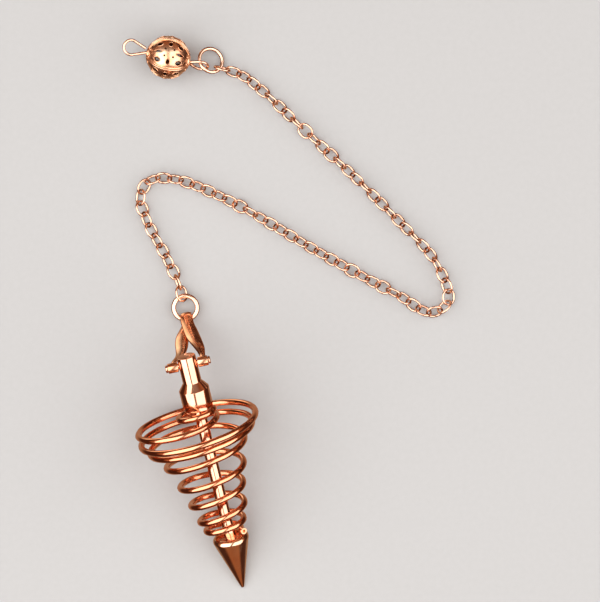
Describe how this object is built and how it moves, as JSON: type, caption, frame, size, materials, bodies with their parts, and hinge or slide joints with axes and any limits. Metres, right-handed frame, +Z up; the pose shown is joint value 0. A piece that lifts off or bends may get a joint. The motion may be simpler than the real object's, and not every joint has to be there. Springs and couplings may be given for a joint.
{
  "type": "pendulum pendant",
  "caption": "Pendulum pendant with a pointed coiled-wire bob, an A-shaped bail, a fine cable chain and a pierced round bead at the free end.",
  "frame": {"origin": "centre of the bounding box on the table that the pendant lies on", "axes": "+Y along the length of the layout, from the point of the bob towards the bead, +Z up from the table"},
  "size_m": [0.0702, 0.1166, 0.0251],
  "materials": {
    "turned_brass": "polished, plated in a rose copper tone",
    "drawn_wire": "polished, plated in a rose copper tone",
    "ring_wire": "polished, plated in a rose copper tone",
    "chain_wire": "polished, plated in a rose copper tone",
    "pierced_shell": "polished, plated in a rose copper tone"
  },
  "bodies": {
    "root": {"bob_core": "turned_brass", "point": "turned_brass", "spiral": "drawn_wire", "cross_pin": "turned_brass", "bail": "drawn_wire", "ring_lower": "ring_wire", "chain": "chain_wire", "ring_upper": "ring_wire", "eye_pin": "ring_wire", "bead": "pierced_shell"}
  },
  "joints": []
}
